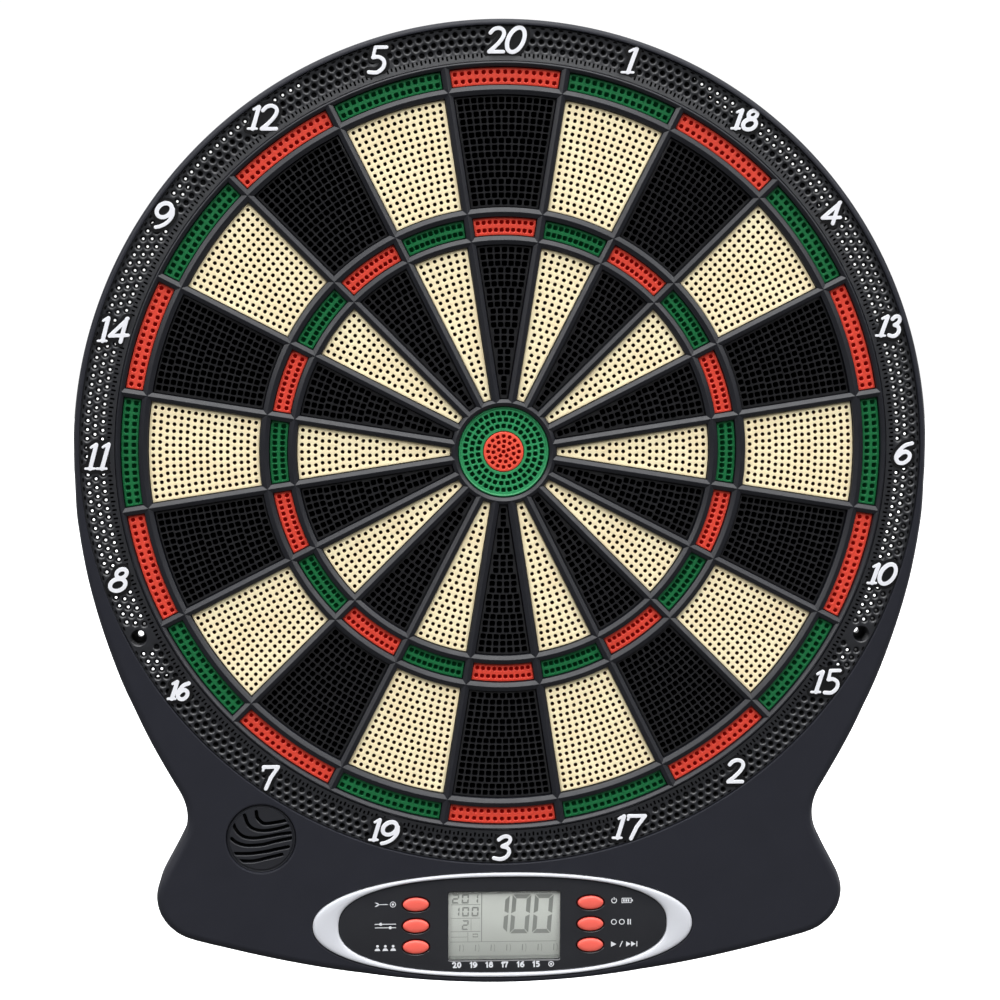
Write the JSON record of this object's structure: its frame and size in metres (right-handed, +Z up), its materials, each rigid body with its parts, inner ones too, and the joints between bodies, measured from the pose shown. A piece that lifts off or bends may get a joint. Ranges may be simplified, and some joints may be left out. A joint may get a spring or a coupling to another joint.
{
  "type": "electronic dartboard",
  "caption": "Round soft-tip electronic dartboard with perforated sprung segments in a raised spider, a number ring, and a lower body holding an oval panel with display and keys.",
  "frame": {"origin": "centre of the bull projected onto the wall plane, which is the rear face of the housing", "axes": "+Z up the wall, +X to the right as the player sees it, +Y into the wall, so the target faces -Y"},
  "size_m": [0.4382, 0.0252, 0.4996],
  "materials": {
    "segment_cream": "satin moulded plastic",
    "segment_black": "satin moulded plastic",
    "segment_red": "satin moulded plastic",
    "segment_green": "satin moulded plastic",
    "spider": "satin moulded plastic",
    "ring": "satin moulded plastic",
    "numerals": "white print",
    "housing": "fine satin texture",
    "rear": "satin moulded plastic",
    "panel": "semi-gloss",
    "trim": "pale silver paint",
    "window": "clear",
    "lcd": "reflective display",
    "silicone": "soft matt",
    "button": "soft satin",
    "board": "solder mask",
    "speaker": "plain",
    "foam": "closed-cell foam",
    "film": "clear film with printed tracks",
    "cell": "printed sleeve",
    "contact": "nickel plated",
    "wire_red": "insulated lead",
    "wire_black": "insulated lead",
    "screw": "zinc plated"
  },
  "bodies": {
    "housing": {"spider": "spider", "number_ring": "ring", "front_housing": "housing", "rear_housing": "rear", "control_panel": "panel", "panel_trim": "trim", "lcd_window": "window", "lcd_module": "lcd", "lcd_connector": "silicone", "keypad_left": "silicone", "keypad_right": "silicone", "circuit_board": "board", "speaker_grille": "ring", "speaker": "speaker", "backing_foam": "foam", "sensor_membrane": "film", "ribbon_cable": "film", "battery_1": "cell", "battery_2": "cell", "battery_3": "cell", "battery_contact_inner": "contact", "battery_contact_outer": "contact", "battery_lead": "wire_red", "speaker_lead": "wire_black", "case_screw_1": "screw", "case_screw_2": "screw", "case_screw_3": "screw", "case_screw_4": "screw", "case_screw_5": "screw", "case_screw_6": "screw"},
    "sector_20_segments": {"sector_20": "segment_black"},
    "sector_01_segments": {"sector_01": "segment_cream"},
    "sector_18_segments": {"sector_18": "segment_black"},
    "sector_04_segments": {"sector_04": "segment_cream"},
    "sector_13_segments": {"sector_13": "segment_black"},
    "sector_06_segments": {"sector_06": "segment_cream"},
    "sector_10_segments": {"sector_10": "segment_black"},
    "sector_15_segments": {"sector_15": "segment_cream"},
    "sector_02_segments": {"sector_02": "segment_black"},
    "sector_17_segments": {"sector_17": "segment_cream"},
    "sector_03_segments": {"sector_03": "segment_black"},
    "sector_19_segments": {"sector_19": "segment_cream"},
    "sector_07_segments": {"sector_07": "segment_black"},
    "sector_16_segments": {"sector_16": "segment_cream"},
    "sector_08_segments": {"sector_08": "segment_black"},
    "sector_11_segments": {"sector_11": "segment_cream"},
    "sector_14_segments": {"sector_14": "segment_black"},
    "sector_09_segments": {"sector_09": "segment_cream"},
    "sector_12_segments": {"sector_12": "segment_black"},
    "sector_05_segments": {"sector_05": "segment_cream"},
    "bull_outer_segment": {"bull_outer": "segment_green"},
    "bull_inner_segment": {"bull_inner": "segment_red"},
    "button_game_key": {"button_game": "button"},
    "button_option_key": {"button_option": "button"},
    "button_player_key": {"button_player": "button"},
    "button_power_key": {"button_power": "button"},
    "button_double_key": {"button_double": "button"},
    "button_start_next_key": {"button_start_next": "button"},
    "battery_cover": {"battery_door": "rear"}
  },
  "joints": [
    {"name": "sector_20_press", "type": "slide", "parent": "housing", "child": "sector_20_segments", "axis": [0, 1, 0], "range_m": [0, 0.001], "stiffness_N_per_m": 1500},
    {"name": "sector_01_press", "type": "slide", "parent": "housing", "child": "sector_01_segments", "axis": [0, 1, 0], "range_m": [0, 0.001], "stiffness_N_per_m": 1500},
    {"name": "sector_18_press", "type": "slide", "parent": "housing", "child": "sector_18_segments", "axis": [0, 1, 0], "range_m": [0, 0.001], "stiffness_N_per_m": 1500},
    {"name": "sector_04_press", "type": "slide", "parent": "housing", "child": "sector_04_segments", "axis": [0, 1, 0], "range_m": [0, 0.001], "stiffness_N_per_m": 1500},
    {"name": "sector_13_press", "type": "slide", "parent": "housing", "child": "sector_13_segments", "axis": [0, 1, 0], "range_m": [0, 0.001], "stiffness_N_per_m": 1500},
    {"name": "sector_06_press", "type": "slide", "parent": "housing", "child": "sector_06_segments", "axis": [0, 1, 0], "range_m": [0, 0.001], "stiffness_N_per_m": 1500},
    {"name": "sector_10_press", "type": "slide", "parent": "housing", "child": "sector_10_segments", "axis": [0, 1, 0], "range_m": [0, 0.001], "stiffness_N_per_m": 1500},
    {"name": "sector_15_press", "type": "slide", "parent": "housing", "child": "sector_15_segments", "axis": [0, 1, 0], "range_m": [0, 0.001], "stiffness_N_per_m": 1500},
    {"name": "sector_02_press", "type": "slide", "parent": "housing", "child": "sector_02_segments", "axis": [0, 1, 0], "range_m": [0, 0.001], "stiffness_N_per_m": 1500},
    {"name": "sector_17_press", "type": "slide", "parent": "housing", "child": "sector_17_segments", "axis": [0, 1, 0], "range_m": [0, 0.001], "stiffness_N_per_m": 1500},
    {"name": "sector_03_press", "type": "slide", "parent": "housing", "child": "sector_03_segments", "axis": [0, 1, 0], "range_m": [0, 0.001], "stiffness_N_per_m": 1500},
    {"name": "sector_19_press", "type": "slide", "parent": "housing", "child": "sector_19_segments", "axis": [0, 1, 0], "range_m": [0, 0.001], "stiffness_N_per_m": 1500},
    {"name": "sector_07_press", "type": "slide", "parent": "housing", "child": "sector_07_segments", "axis": [0, 1, 0], "range_m": [0, 0.001], "stiffness_N_per_m": 1500},
    {"name": "sector_16_press", "type": "slide", "parent": "housing", "child": "sector_16_segments", "axis": [0, 1, 0], "range_m": [0, 0.001], "stiffness_N_per_m": 1500},
    {"name": "sector_08_press", "type": "slide", "parent": "housing", "child": "sector_08_segments", "axis": [0, 1, 0], "range_m": [0, 0.001], "stiffness_N_per_m": 1500},
    {"name": "sector_11_press", "type": "slide", "parent": "housing", "child": "sector_11_segments", "axis": [0, 1, 0], "range_m": [0, 0.001], "stiffness_N_per_m": 1500},
    {"name": "sector_14_press", "type": "slide", "parent": "housing", "child": "sector_14_segments", "axis": [0, 1, 0], "range_m": [0, 0.001], "stiffness_N_per_m": 1500},
    {"name": "sector_09_press", "type": "slide", "parent": "housing", "child": "sector_09_segments", "axis": [0, 1, 0], "range_m": [0, 0.001], "stiffness_N_per_m": 1500},
    {"name": "sector_12_press", "type": "slide", "parent": "housing", "child": "sector_12_segments", "axis": [0, 1, 0], "range_m": [0, 0.001], "stiffness_N_per_m": 1500},
    {"name": "sector_05_press", "type": "slide", "parent": "housing", "child": "sector_05_segments", "axis": [0, 1, 0], "range_m": [0, 0.001], "stiffness_N_per_m": 1500},
    {"name": "bull_outer_press", "type": "slide", "parent": "housing", "child": "bull_outer_segment", "axis": [0, 1, 0], "range_m": [0, 0.001], "stiffness_N_per_m": 1000},
    {"name": "bull_inner_press", "type": "slide", "parent": "housing", "child": "bull_inner_segment", "axis": [0, 1, 0], "range_m": [0, 0.001], "stiffness_N_per_m": 1000},
    {"name": "button_game_press", "type": "slide", "parent": "housing", "child": "button_game_key", "axis": [0, 1, 0], "range_m": [0, 0.001], "stiffness_N_per_m": 800},
    {"name": "button_option_press", "type": "slide", "parent": "housing", "child": "button_option_key", "axis": [0, 1, 0], "range_m": [0, 0.001], "stiffness_N_per_m": 800},
    {"name": "button_player_press", "type": "slide", "parent": "housing", "child": "button_player_key", "axis": [0, 1, 0], "range_m": [0, 0.001], "stiffness_N_per_m": 800},
    {"name": "button_power_press", "type": "slide", "parent": "housing", "child": "button_power_key", "axis": [0, 1, 0], "range_m": [0, 0.001], "stiffness_N_per_m": 800},
    {"name": "button_double_press", "type": "slide", "parent": "housing", "child": "button_double_key", "axis": [0, 1, 0], "range_m": [0, 0.001], "stiffness_N_per_m": 800},
    {"name": "button_start_next_press", "type": "slide", "parent": "housing", "child": "button_start_next_key", "axis": [0, 1, 0], "range_m": [0, 0.001], "stiffness_N_per_m": 800},
    {"name": "battery_cover_tilt", "type": "hinge", "parent": "housing", "child": "battery_cover", "pos_m": [0.1302, -0.0003, -0.2004], "axis": [1, 0, 0], "range_deg": [0, 75]}
  ]
}
